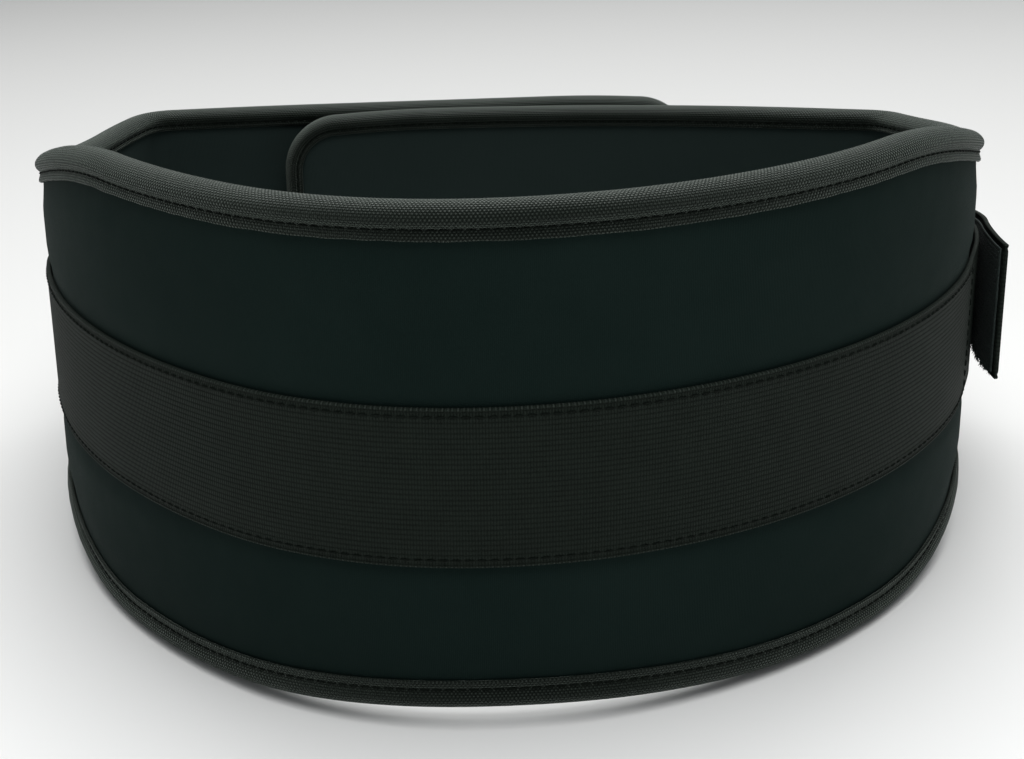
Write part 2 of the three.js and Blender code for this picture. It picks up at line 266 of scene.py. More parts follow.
def top_at(s):
    """Height of the belt's top edge."""
    fall = smooth(abs(s), SHOULDER_START, SHOULDER_START + TOP_SHOULDER)
    return mix(BACK_TOP, END_TOP, fall) - taper_at(s)


def bottom_at(s):
    """Height of the belt's bottom edge, arched at the middle of the back."""
    fall = smooth(abs(s), SHOULDER_START, SHOULDER_START + BOTTOM_SHOULDER)
    arch = BACK_ARCH * (1 - smooth(abs(s), 0, ARCH_RUN))
    return arch + taper_at(s) - mix(BACK_DROP, END_DROP, fall)


def settle(p):
    """A point of the closed belt after it has settled."""
    sag = REAR_SAG * smooth(p.y, SAG_START, SAG_END)
    return Vector((p.x + SIDE_LEAN * p.z, p.y, p.z - sag))


panel_start = panel_inset - outer_length
panel_end = inner_length - panel_inset
panel_corner = END_CORNER_R - panel_inset


def panel_span(s):
    """Lowest and highest place of the panel, inside its binding."""
    past = max(0, panel_corner - min(s - panel_start, panel_end - s))
    rounded = panel_corner - math.sqrt(max(0, panel_corner ** 2 - past ** 2))
    return bottom_at(s) + panel_inset + rounded, top_at(s) - panel_inset - rounded


# The belt stands on both shoulders of its back and on the bottom of its ends.

def resting_up():
    """The direction that ends upright once the belt stands on its three lowest places."""
    runs = np.linspace(END_CORNER_R - outer_length, inner_length - END_CORNER_R, 800)
    foot = [settle(bend(s, bottom_at(s), 0)) for s in runs]
    front = [p for p in foot if p.y < outer_y / 2]
    areas = [
        [p for p in front if p.x < BACK_SHIFT],
        [p for p in front if p.x > BACK_SHIFT],
        [p for p in foot if p.y > outer_y / 2],
    ]
    up = Vector((0, 0, 1))
    for _ in range(8):
        left, right, rear = (min(area, key=up.dot) for area in areas)
        up = (right - left).cross(rear - left).normalized()
    return up


def stand_matrix():
    """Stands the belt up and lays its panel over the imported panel."""
    turn = resting_up().rotation_difference(Vector((0, 0, 1))).to_matrix()
    half = PANEL_T / 2
    places = []
    for s in np.linspace(panel_start, panel_end, 700):
        low, high = panel_span(s)
        places += [turn @ settle(bend(s, mix(low, high, k / 6), n)) for k in range(7) for n in (-half, half)]
    own = np.array(places)
    packed = np.array([v.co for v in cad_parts["panel"].data.vertices])
    shift = (packed.min(0) + packed.max(0) - own.min(0) - own.max(0)) / 2
    return Matrix.Translation(Vector(shift)) @ turn.to_4x4()


STAND = stand_matrix()


# Meshes: each is a grid closed round its section, set along a path and stood up

def add_sleeve(bm, along, around, place, uv_at, loop=False, cut=0):
    """Adds a grid of along by around steps, joined round its section and closed at its ends.

    With a cut, the grid is taken apart again after every so many rows."""
    flat = bm.loops.layers.uv.get("UVMap") or bm.loops.layers.uv.new("UVMap")
    made = bmesh.ops.create_grid(bm, x_segments=along, y_segments=around, size=0.5)["verts"]
    step = {v: (round((v.co.x + 0.5) * along), round((v.co.y + 0.5) * around)) for v in made}
    faces = {f for v in made for f in v.link_faces}
    for face in faces:
        for corner in face.loops:
            corner[flat].uv = uv_at(*step[corner.vert])
    if cut:
        between = [f for f in faces if (min(step[v][0] for v in f.verts) + 1) % cut == 0]
        faces.difference_update(between)
        bmesh.ops.delete(bm, geom=between, context="FACES")
    for v, (i, j) in step.items():
        v.co = place(i % along if loop else i, j % around)
    bmesh.ops.remove_doubles(bm, verts=made, dist=1e-6)
    if not loop:
        rims = [e for f in faces if f.is_valid for e in f.edges if e.is_boundary]
        bmesh.ops.holes_fill(bm, edges=list(set(rims)), sides=0)


def finish_piece(name, bm, material, slot, *replaced, smooth_faces=True):
    """Stands the mesh up as one piece of the belt, with its material and the node it stands for."""
    for v in bm.verts:
        v.co = STAND @ settle(v.co)
    bmesh.ops.recalc_face_normals(bm, faces=bm.faces)
    mesh = bpy.data.meshes.new(name)
    bm.to_mesh(mesh)
    bm.free()
    mesh.polygons.foreach_set("use_smooth", [smooth_faces] * len(mesh.polygons))
    mesh.materials.append(material)
    piece = bpy.data.objects.new(name, mesh)
    bpy.context.scene.collection.objects.link(piece)
    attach(piece, "root")
    if replaced:
        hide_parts(*replaced)
    return piece


def ripple(u, v, size, seed):
    """Gentle unevenness from -1 to 1 over a flat place, with bumps about `size` wide."""
    return noise.noise(Vector((u / size, v / size, seed)))


# Foam panel

# Heights in millimetres of the rows behind the strap, above and below its middle.
HALF_CORE = [5, 10, 15, 20, 21.6, 22.5, 23.4, 24.5, 27]
CORE_ROWS = [-z for z in reversed(HALF_CORE)] + [0] + HALF_CORE
CORE_REACH = HALF_CORE[-1] * MM + 3 * MM


def panel_heights(s):
    """Heights of one row of points up the panel, close together where the strap is sewn through."""
    low, high = panel_span(s)
    fit = min(1, high / CORE_REACH, -low / CORE_REACH)
    core = [z * MM * fit for z in CORE_ROWS]
    below = [mix(low, core[0], k / RIM_ROWS) for k in range(RIM_ROWS)]
    above = [mix(core[-1], high, k / RIM_ROWS) for k in range(1, RIM_ROWS + 1)]
    return below + core + above


def panel_face(s, z, face):
    """How far one face of the panel lies from its middle: softly uneven, thin under the binding."""
    low, high = panel_span(s)
    rim = min(z - low, high - z, s - panel_start, panel_end - s)
    thin = RIM_THINNING * (1 - smooth(rim, 3 * MM, TAPE_REACH))
    beyond_strap = smooth(abs(z), STRAP_W / 2 + 0.5 * MM, STRAP_W / 2 + 8 * MM)
    open_area = beyond_strap * smooth(rim, TAPE_REACH, TAPE_REACH + 11 * MM)
    uneven = FACE_WAVE * ripple(s, z, FACE_WAVE_W, 2.5) * open_area
    if face > 0:
        return PANEL_T / 2 - thin + uneven + FACE_PUFF * open_area
    crease = SEAM_CREASE * dip(abs(z) - STRAP_W / 2 + STRAP_STITCH_IN, SEAM_CREASE_W)
    crease *= smooth(SEWN_END - s, 0, 8 * MM) * smooth(rim, TAPE_REACH, TAPE_REACH + 5 * MM)
    hinge = min(abs(s + OUTER_HINGE), abs(s - INNER_HINGE))
    pinch = HINGE_CREASE * dip(hinge, HINGE_CREASE_W) + HINGE_DIP * dip(hinge, HINGE_DIP_W)
    return -(PANEL_T / 2 - thin - crease - pinch + uneven)


def make_panel(material):
    """The foam wall: rows of points up one face and down the other, closer in the round ends."""
    turns = [math.pi / 2 * k / ROUNDING_STEPS for k in range(ROUNDING_STEPS)]
    rounding = [panel_corner * (1 - math.cos(turn)) for turn in turns]
    runs = [panel_start + inward for inward in rounding]
    body = math.ceil((panel_end - panel_start - 2 * panel_corner) / PANEL_STEP)
    for k in range(body + 1):
        runs.append(mix(panel_start + panel_corner, panel_end - panel_corner, k / body))
    runs += [panel_end - inward for inward in reversed(rounding)]
    rows = len(CORE_ROWS) + 2 * RIM_ROWS
    table = []
    for s in runs:
        heights = panel_heights(s)
        ring = [(z, panel_face(s, z, 1)) for z in heights]
        ring += [(z, panel_face(s, z, -1)) for z in reversed(heights)]
        table.append((s, ring))

    def place(i, j):
        s, ring = table[i]
        return bend(s, *ring[j])

    def flat(i, j):
        s, ring = table[i]
        return s, ring[j % (2 * rows)][0] + (LINING_V if j >= rows else 0)

    bm = bmesh.new()
    add_sleeve(bm, len(runs) - 1, 2 * rows, place, flat)
    panel = finish_piece("foam_panel", bm, material, "panel_knit", "panel")


# Edge binding

# Section of the folded tape, in millimetres.
# Columns: outwards from the belt's edge, across towards the outer face.
TAPE_SECTION = [
    (-8.6, 4.32), (-10.4, 4.34), (-10.7, 4.7), (-10.5, 5.15), (-9.8, 5.25), (-8.9, 5.1),
    (-8.2, 4.85), (-7.8, 4.6), (-7.3, 4.55), (-6.9, 4.85), (-6.4, 5.4), (-5.8, 5.85),
    (-5.0, 6.15), (-4.2, 6.2), (-3.4, 6.0), (-2.6, 5.55), (-1.9, 4.95), (-1.25, 4.15),
    (-0.65, 3.1), (-0.2, 1.8), (0, 0), (-0.2, -1.5), (-0.6, -2.8), (-1.2, -3.9),
    (-1.9, -4.75), (-2.6, -5.3), (-3.3, -5.6), (-4.0, -5.55), (-4.6, -5.2), (-5.1, -4.8),
    (-5.5, -4.6), (-5.9, -4.8), (-6.3, -5.05), (-7.1, -5.15), (-7.5, -4.75), (-7.2, -4.34),
    (-5.4, -4.32), (-2.6, -4.2), (-1.9, -3.0), (-1.9, 3.0), (-2.6, 4.2), (-5.4, 4.32),
]
tape_steps = np.hypot(*np.diff(TAPE_SECTION + TAPE_SECTION[:1], axis=0).T) * MM
tape_runs = np.concatenate([[0], np.cumsum(tape_steps)])
fold_run = tape_runs[TAPE_SECTION.index((0, 0))]


def edge_outline(step):
    """The belt's edge in the flat: even places of run, s, z and the direction out of the edge."""
    r = END_CORNER_R
    first = r - outer_length
    last = inner_length - r
    corner = [-math.pi / 2 * k / CORNER_STEPS for k in range(1, CORNER_STEPS + 1)]
    forth = [mix(first, last, k / EDGE_STEPS) for k in range(EDGE_STEPS + 1)]
    points = [(along, top_at(along)) for along in forth]
    high, low = top_at(last) - r, bottom_at(last) + r
    points += [(last + r * math.cos(math.pi / 2 + a), high + r * math.sin(math.pi / 2 + a)) for a in corner]
    points += [(last + r * math.cos(a), low + r * math.sin(a)) for a in [0] + corner]
    back = [mix(last, first, k / EDGE_STEPS) for k in range(1, EDGE_STEPS + 1)]
    points += [(along, bottom_at(along)) for along in back]
    high, low = top_at(first) - r, bottom_at(first) + r
    points += [(first - r * math.sin(-a), low - r * math.cos(a)) for a in corner]
    points += [(first - r * math.cos(a), high - r * math.sin(a)) for a in [0] + corner[:-1]]
    loop = np.array(points + points[:1])
    run = np.concatenate([[0], np.cumsum(np.hypot(*np.diff(loop, axis=0).T))])
    count = round(run[-1] / step)
    places = np.linspace(0, run[-1], count + 1)[:-1]
    s, z = np.interp(places, run, loop[:, 0]), np.interp(places, run, loop[:, 1])
    ahead_s, ahead_z = np.roll(s, -1) - np.roll(s, 1), np.roll(z, -1) - np.roll(z, 1)
    length = np.hypot(ahead_s, ahead_z)
    return list(zip(places, s, z, -ahead_z / length, ahead_s / length)), run[-1]


def make_binding(material):
    """The folded tape, dimpled by its stitches, with a slightly wavy free hem on the outer face."""
    outline, run = edge_outline(TAPE_STEP)

    def place(i, j):
        u, s, z, out_s, out_z = outline[i]
        out, across = (value * MM for value in TAPE_SECTION[j])
        stitch = math.cos(2 * math.pi * u / STITCH_PITCH)
        seam_in = BINDING_STITCH_IN if across > 0 else INSIDE_STITCH_IN
        near = dip(out + seam_in, BINDING_DIMPLE_W)
        hem = smooth(-out, 9 * MM, 10.4 * MM) if across > 4.5 * MM else 0
        puff = 0.18 * MM * ripple(u, 0, 9 * MM, 1.5) * smooth(-out, 1 * MM, 4 * MM) * (1 - near) * (1 - hem)
        if abs(across) > 4.4 * MM:
            across += math.copysign(0.1 * MM * stitch * near + puff, across)
        across += 0.22 * MM * hem * (1 + ripple(u, 3, 7 * MM, 4.5))
        out += 0.2 * MM * hem * ripple(u, 5, 5 * MM, 6.5)
        return bend(s + out * out_s, z + out * out_z, across)

    def flat(i, j):
        return i * run / len(outline), tape_runs[j]

    bm = bmesh.new()
    add_sleeve(bm, len(outline), len(TAPE_SECTION), place, flat, loop=True)
    finish_piece("edge_binding", bm, material, "binding_tape", "binding")


# Strap

def on_wall(s, n):
    """A place in plan, n out from the middle of the wall."""
    return bend(s, 0, n).to_2d()


far_bar_s = RING_FROM_END - outer_length
near_bar_s = far_bar_s + RING_SLOT + 2 * RING_BAR_R


def wrap_bar(bar_s, slot_side, start_turn):
    """Half turn of webbing round a bar of the ring, on the bar's slot side."""
    turns = [start_turn * (1 - 2 * k / BAR_STEPS) for k in range(BAR_STEPS + 1)]
    return [on_wall(bar_s + slot_side * wrap_r * math.cos(a), ring_n + wrap_r * math.sin(a)) for a in turns]


def spline(knots, count):
    """Even points on a smooth curve through the knots."""
    fine = []
    for k in range(len(knots) - 1):
        a, b, c, d = (knots[min(max(k + i, 0), len(knots) - 1)] for i in (-1, 0, 1, 2))
        for t in (i / KNOT_STEPS for i in range(KNOT_STEPS)):
            fine.append(0.5 * (2 * b + (c - a) * t + (2 * a - 5 * b + 4 * c - d) * t ** 2
                               + (3 * b - a - 3 * c + d) * t ** 3))
    return even(fine + [knots[-1]], count)


def even(points, count):
    """Points at even distances along a plan path."""
    points = np.array(points)
    run = np.concatenate([[0], np.cumsum(np.hypot(*np.diff(points, axis=0).T))])
    places = np.linspace(0, run[-1], count + 1)
    return [Vector((np.interp(p, run, points[:, 0]), np.interp(p, run, points[:, 1]))) for p in places]


def outwards(path, k):
    """The direction out of the belt, square to a plan path."""
    along = (path[min(len(path) - 1, k + 1)] - path[max(0, k - 1)]).normalized()
    return Vector((along.y, -along.x))


def fold_path():
    """The return that is sewn down over the strap, then the fold round the near bar."""
    flat = sewn_n + layer_step
    crest = ring_n + wrap_r
    knots = [(1, 0), (0.7, 0), (0.45, 0.06), (0.2, 0.75), (0, 1)]
    rise = spline([on_wall(near_bar_s + k * FOLD_RETURN, mix(flat, crest, up)) for k, up in knots], FOLD_STEPS)
    return rise[:-1] + wrap_bar(near_bar_s, -1, math.pi / 2)


def tail_path():
    """The strap beyond its sewn end: slack at the side, close round the hinge, over the outer end."""
    start, length = inner_rows[HINGE_ROW][:2]
    climb = on_wall(start + length, 0).x - OUTER_END_X
    close = sewn_n + SEWN_GAP
    knots = [on_wall(mix(SEWN_END, start, run), sewn_n + stand * SIDE_SLACK) for run, stand in SIDE_KNOTS]
    knots += [
        on_wall(start + length / 2, close),
        on_wall(start + length, close + 0.12 * lap_step),
        on_wall(start + length + 0.5 * climb, close + 0.62 * lap_step),
        on_wall(-outer_length - 0.1 * climb, over_binding_n + SEWN_GAP),
        on_wall(OUTER_FACE_W / 2 - outer_length, over_binding_n + SEWN_GAP),
        on_wall(OUTER_FACE_W + 2 * STRAP_T - outer_length, over_binding_n - BINDING_ROLL),
        on_wall(far_bar_s, sewn_n),
    ]
    return spline(knots, TAIL_STEPS)


def return_path(tail):
    """The strap's way back over itself from the far bar, then its tip, which stands away."""
    step = (tail[1] - tail[0]).length
    back = []
    for k in range(len(tail) - 1, math.ceil(TIP_START / step) - 1, -1):
        from_ring = 1 - k / (len(tail) - 1)
        away = mix(2 * wrap_r, hook_step, smooth(from_ring, 0, 0.2))
        back.append(tail[k] + outwards(tail, k) * away)
    root = back[-1]
    ahead = (root - back[-2]).normalized()
    outward = Vector((-ahead.y, ahead.x))
    for t in (k / TIP_STEPS for k in range(1, TIP_STEPS + 1)):
        back.append(root + ahead * t * TIP_L + outward * t * t * TIP_SPREAD)
    return back


tail = tail_path()
way_back = return_path(tail)


def lift_at(k):
    """How far the way back has climbed towards its tip."""
    return TIP_LIFT * smooth(k / (len(way_back) - 1), 0, 1)


# Section of the webbing in millimetres: along its width and through it, with a thick selvedge.
# Columns: out from its middle line, half its thickness there.
HALF_WEBBING = [
    (0, 0.8), (5, 0.8), (10, 0.8), (15, 0.8), (20, 0.8), (21.9, 0.8), (22.6, 0.72),
    (23.1, 0.55), (23.5, 0.52), (23.9, 0.68), (24.3, 0.82), (24.75, 0.75), (25, 0.4),
]
SELVEDGE_START = 20


def webbing_section(width, thickness):
    """The section, fitted to a strap's width and thickness, from its lower edge round both faces."""
    last = HALF_WEBBING[-1][0]
    plain = width / 2 - (last - SELVEDGE_START) * MM
    half = []
    for a, t in HALF_WEBBING:
        out = width / 2 - (last - a) * MM if a > SELVEDGE_START else a / SELVEDGE_START * plain
        half.append((out, t * thickness * MM / STRAP_T))
    face = [(-a, t) for a, t in reversed(half)] + half[1:]
    return face + [(a, -t) for a, t in reversed(face)]


def add_ribbon(bm, path, width, thickness, middle_at, run_start=0, wave=0.0):
    """Adds webbing along a plan path, with its flat map in metres along and across."""
    section = webbing_section(width, thickness)
    sides = [outwards(path, k) for k in range(len(path))]
    runs = np.concatenate([[0], np.cumsum([(b - a).length for a, b in zip(path, path[1:])])]) + run_start

    def place(i, j):
        up, out = section[j]
        wavy = wave * ripple(runs[i], up * 0.4, 25 * MM, 8.5)
        p = path[i] + sides[i] * (out + wavy)
        return Vector((p.x, p.y, middle_at(i) + up * (1 + 0.6 * wave / STRAP_W)))

    def flat(i, j):
        return runs[i], section[j % len(section)][0]

    add_sleeve(bm, len(path) - 1, len(section), place, flat)


def make_strap(material):
    """The whole strap as one ribbon, from its sewn return to its loose tip."""
    count = math.ceil((SEWN_END - near_bar_s - wrap_r) / STRAP_STEP)
    sewn = [on_wall(mix(near_bar_s + wrap_r, SEWN_END, k / count), sewn_n) for k in range(count)]
    held = fold_path() + sewn + tail[:-1] + wrap_bar(far_bar_s, 1, -math.pi / 2)

    def middle_at(k):
        return 0 if k < len(held) else lift_at(k - len(held) + 1)

    bm = bmesh.new()
    add_ribbon(bm, held + way_back[1:], STRAP_W, STRAP_T, middle_at, wave=STRAP_WAVE)
    finish_piece("webbing_strap", bm, material, "strap_webbing", "strap")


# Hook tape

def hook_stretch():
    """The last stretch of the way back, with the length of strap before it."""
    tip = len(way_back) - 1
    run = 0
    start = tip
    while run < HOOK_L:
        run += (way_back[start] - way_back[start - 1]).length
        start -= 1
    return start, tip


def make_hook_tape(material):
    """The tape inside the strap's tip: a thin woven base with hooks on it."""
    start, tip = hook_stretch()
    base_off = STRAP_T / 2 + 0.12 * MM + HOOK_BASE_T / 2
    path = [way_back[k] + outwards(way_back, k) * base_off for k in range(start, tip + 1)]
    path[-1] -= (path[-1] - path[-2]).normalized() * HOOK_INSET
    path = even(path, len(path) - 1)
    bm = bmesh.new()
    add_ribbon(bm, path, HOOK_W, HOOK_BASE_T, lambda k: lift_at(k + start))
    add_hooks(bm, path, start)
    finish_piece("hook_tape_tip", bm, material, "hook_tape", "hook_tape")


def add_hooks(bm, path, start):
    """Rows of small bent hooks on the inside face, and frayed ends along the lower edge."""
    reach = HOOK_T - HOOK_BASE_T - 0.15 * MM
    hooks = []
    for i in range(1, len(path) - 1):
        out = outwards(path, i)
        ahead = Vector((out.y, -out.x))
        for row in range(HOOK_ROWS):
            up = lift_at(i + start) + HOOK_W * mix(-0.47, 0.47, row / (HOOK_ROWS - 1))
            foot = path[i] + out * HOOK_BASE_T / 2 + ahead * random.uniform(-0.5, 0.5) * MM
            bent = foot + out * reach + ahead * random.choice((-0.5, 0.5)) * MM
            tilt = random.uniform(-0.3, 0.3) * MM
            middle = foot + out * reach * 0.75
            hooks.append([(*foot, up), (*middle, up + 0.3 * tilt), (*bent, up + tilt)])
    for _ in range(FRAYED_ENDS):
        i = random.randrange(len(path) // 3, len(path) - 1)
        out = outwards(path, i)
        foot = path[i] + out * random.uniform(-0.2, 0.5) * MM
        low = lift_at(i + start) - HOOK_W / 2
        drop = random.uniform(0.8, 2.4) * MM
        loose = foot + out * random.uniform(-0.3, 0.6) * MM
        end = foot + out * random.uniform(-0.6, 1.0) * MM
        hooks.append([(*foot, low + 0.4 * MM), (*loose, low - drop * 0.5), (*end, low - drop)])
    add_threads(bm, hooks, HOOK_THREAD_R, 3)


# Thread

def add_threads(bm, threads, radius, sides=5):
    """Adds short threads, each through as many points, thinner at both ends."""
    count = len(threads[0])
    rows = []
    for thread in threads:
        points = [Vector(p) for p in thread]
        for k in range(count):
            along = (points[min(count - 1, k + 1)] - points[max(0, k - 1)]).normalized()
            side = along.cross(Vector((0, 0, 1)) if abs(along.z) < 0.9 else Vector((1, 0, 0))).normalized()
            r = radius * (0.45 if k in (0, count - 1) else 1)
            rows.append((points[k], side * r, along.cross(side) * r))

    def place(i, j):
        middle, side, up = rows[i]
        a = 2 * math.pi * j / sides
        return middle + side * math.cos(a) + up * math.sin(a)

    add_sleeve(bm, len(rows) - 1, sides, place, lambda i, j: (i * MM, j * MM), cut=count)


def stitch(flat_at, run, face):
    """One stitch at a run along a seam: sunk at both ends, raised over the cloth between."""
    slant = random.uniform(-0.12, 0.12) * MM
    spots = [(-0.5, -0.35), (-0.28, 0.7), (0.28, 0.7), (0.5, -0.35)]
    points = []
    for share, raised in spots:
        s, z, n, (side_s, side_z) = flat_at(run + share * STITCH_LENGTH)
        shift = slant * share * 2
        points.append(bend(s + side_s * shift, z + side_z * shift, n + face * raised * STITCH_LIFT))
    return points


def make_binding_stitches(material):
    """The row of stitches that holds the tape, on both faces of the belt."""
    outline, length = edge_outline(STITCH_PITCH / 6)
    runs = np.array([row[0] for row in outline])

    def seam(inward, across):
        def flat_at(run):
            u, s, z, out_s, out_z = outline[int(np.searchsorted(runs, run % length)) % len(outline)]
            return s - inward * out_s, z - inward * out_z, across, (out_s, out_z)
        return flat_at

    count = round(length / STITCH_PITCH)
    threads = []
    for k in range(count):
        run = (k + 0.5) * length / count
        threads.append(stitch(seam(BINDING_STITCH_IN, BINDING_STITCH_N), run, 1))
        threads.append(stitch(seam(INSIDE_STITCH_IN, -BINDING_STITCH_N), run, -1))
    bm = bmesh.new()
    add_threads(bm, threads, THREAD_R)
    finish_piece("binding_stitches", bm, material, "binding_tape")


def make_strap_stitches(material):
    """Two long rows that sew the strap on, a cross row where it leaves, and the crossed box."""
    face = sewn_n + STRAP_T / 2 - STRAP_STITCH_SUNK
    over = face + layer_step
    edge = STRAP_W / 2 - STRAP_STITCH_IN
    first = near_bar_s + FOLD_RETURN + 2 * MM
    last = SEWN_END - 1.5 * MM
    box = near_bar_s + 0.5 * FOLD_RETURN, near_bar_s + FOLD_RETURN - 2.5 * MM
    seams = [
        (first, -edge, last, -edge, face),
        (first, edge, last, edge, face),
        (last, -edge, last, edge, face),
    ]
    seams += [(box[0], z, box[1], z, over) for z in (-edge, edge)]
    seams += [(s, -edge, s, edge, over) for s in box]
    seams += [(box[0], z, box[1], -z, over) for z in (-edge, edge)]
    threads = []
    for s0, z0, s1, z1, n in seams:
        length = math.hypot(s1 - s0, z1 - z0)
        way = ((s1 - s0) / length, (z1 - z0) / length)
        count = round(length / STITCH_PITCH)

        def flat_at(run):
            return s0 + way[0] * run, z0 + way[1] * run, n, (-way[1], way[0])

        threads += [stitch(flat_at, (k + 0.5) * length / count, 1) for k in range(count)]
    bm = bmesh.new()
    add_threads(bm, threads + tip_stitches(), THREAD_R)
    finish_piece("strap_stitches", bm, material, "strap_webbing")


def tip_stitches():
    """The seam that holds the hook tape, seen on the outside of the strap's tip."""
    start, tip = hook_stretch()
    steps = [(way_back[k + 1] - way_back[k]).length for k in range(start, tip)]
    runs = np.concatenate([[0], np.cumsum(steps)])
    edge = HOOK_W / 2 - TIP_STITCH_IN
    near, far = TIP_STITCH_IN, runs[-1] - HOOK_INSET - TIP_STITCH_IN

    def spot(run, up, raised):
        k = min(int(np.searchsorted(runs, run, side="right")) - 1, len(steps) - 1)
        here = start + k
        p = way_back[here].lerp(way_back[here + 1], (run - runs[k]) / steps[k])
        p -= outwards(way_back, here) * (STRAP_T / 2 + raised)
        return Vector((p.x, p.y, lift_at(here) + up))

    corners = [(near, -edge), (far, -edge), (far, edge), (near, edge)]
    threads = []
    for (a, za), (b, zb) in zip(corners, corners[1:] + corners[:1]):
        length = math.hypot(b - a, zb - za)
        count = round(length / STITCH_PITCH)
        for k in range(count):
            shares = [((k + 0.5) / count + share * STITCH_LENGTH / length, raised * MM)
                      for share, raised in ((-0.5, -0.1), (-0.28, 0.25), (0.28, 0.25), (0.5, -0.1))]
            threads.append([spot(mix(a, b, t), mix(za, zb, t), raised) for t, raised in shares])
    return threads


# Ring

def make_ring(material):
    """One round bar bent to a rectangle, lying flat along the outer end."""
    middle = bend((far_bar_s + near_bar_s) / 2, 0, ring_n)
    ahead = (bend(near_bar_s, 0, ring_n) - middle).normalized()
    out = Vector((ahead.y, -ahead.x, 0))
    reach = RING_SLOT / 2 + RING_BAR_R - RING_CORNER_R
    height = STRAP_W / 2 + RING_SIDE_CLEARANCE + RING_BAR_R - RING_CORNER_R
    spokes = []
    for along, up, quarter in ((1, 1, 0), (-1, 1, 1), (-1, -1, 2), (1, -1, 3)):
        for k in range(RING_CORNER_STEPS + 1):
            a = math.pi / 2 * (quarter + k / RING_CORNER_STEPS)
            spoke = ahead * math.cos(a) + Vector((0, 0, math.sin(a)))
            centre = middle + ahead * along * reach + Vector((0, 0, up * height)) + spoke * RING_CORNER_R
            spokes.append((centre, spoke))

    def place(i, j):
        centre, spoke = spokes[i]
        a = 2 * math.pi * j / RING_SIDES
        return centre + spoke * RING_BAR_R * math.cos(a) + out * RING_BAR_R * math.sin(a)

    bm = bmesh.new()
    add_sleeve(bm, len(spokes), RING_SIDES, place, lambda i, j: (i * MM, j * MM), loop=True)
    finish_piece("steel_ring", bm, material, "ring_steel", "ring")


# Materials

class Finish:
    """A material under way, with short names for the nodes that its pattern is made of."""

    def __init__(self, name, roughness, sheen=0.0, metallic=0.0, specular=0.5, tint=(1, 1, 1)):
        self.material = bpy.data.materials.new(name)
        self.material.use_nodes = True
        self.tree = self.material.node_tree
        self.shader = self.tree.nodes["Principled BSDF"]
        self.shader.inputs["Roughness"].default_value = roughness
        self.shader.inputs["Metallic"].default_value = metallic
        self.shader.inputs["Specular IOR Level"].default_value = specular
        self.shader.inputs["Specular Tint"].default_value = (*tint, 1)
        self.shader.inputs["Sheen Weight"].default_value = sheen
        self.shader.inputs["Sheen Roughness"].default_value = 0.3
        self.shader.inputs["Sheen Tint"].default_value = (*tint, 1)
        uv = self.node("ShaderNodeUVMap", uv_map="UVMap")
        parts = self.node("ShaderNodeSeparateXYZ")
        self.tree.links.new(uv.outputs[0], parts.inputs[0])
        self.uv = uv.outputs[0]
        self.u = parts.outputs[0]
        self.v = parts.outputs[1]
        self.place = self.node("ShaderNodeTexCoord").outputs["Object"]

    def node(self, kind, **settings):
        made = self.tree.nodes.new(kind)
        for key, value in settings.items():
            setattr(made, key, value)
        return made

    def math(self, operation, *values):
        made = self.node("ShaderNodeMath", operation=operation)
        for socket, value in zip(made.inputs, values):
            self.feed(socket, value)
        return made.outputs[0]

    def feed(self, socket, value):
        if isinstance(value, (int, float)):
            socket.default_value = value
        else:
            self.tree.links.new(value, socket)

    def noise(self, size, detail=2.0, roughness=0.5, where=None):
        """Noise from 0 to 1 with features about `size` metres wide."""
        made = self.node("ShaderNodeTexNoise")
        made.inputs["Scale"].default_value = 1 / size
        made.inputs["Detail"].default_value = detail
        made.inputs["Roughness"].default_value = roughness
        self.tree.links.new(where or self.place, made.inputs["Vector"])
        return made.outputs["Fac"]

    def ribs(self, along, pitch, shift=0.0):
        """Round ribs from 0 in the furrows to 1 on the crests."""
        turns = self.math("MULTIPLY_ADD", along, math.pi / pitch, shift)
        return self.math("ABSOLUTE", self.math("SINE", turns))

    def colour(self, factor, *stops):
        ramp = self.node("ShaderNodeValToRGB")
        while len(ramp.color_ramp.elements) < len(stops):
            ramp.color_ramp.elements.new(0.5)
        for element, (at, colour) in zip(ramp.color_ramp.elements, stops):
            element.position = at
            element.color = (*colour, 1)
        self.feed(ramp.inputs[0], factor)
        self.tree.links.new(ramp.outputs[0], self.shader.inputs["Base Color"])

    def rough(self, factor, low, high):
        spread = self.node("ShaderNodeMapRange")
        self.feed(spread.inputs["Value"], factor)
        spread.inputs["To Min"].default_value = low
        spread.inputs["To Max"].default_value = high
        self.tree.links.new(spread.outputs[0], self.shader.inputs["Roughness"])

    def bump(self, height, depth, strength=1.0):
        made = self.node("ShaderNodeBump")
        made.inputs["Strength"].default_value = strength
        made.inputs["Distance"].default_value = depth
        self.feed(made.inputs["Height"], height)
        self.tree.links.new(made.outputs[0], self.shader.inputs["Normal"])


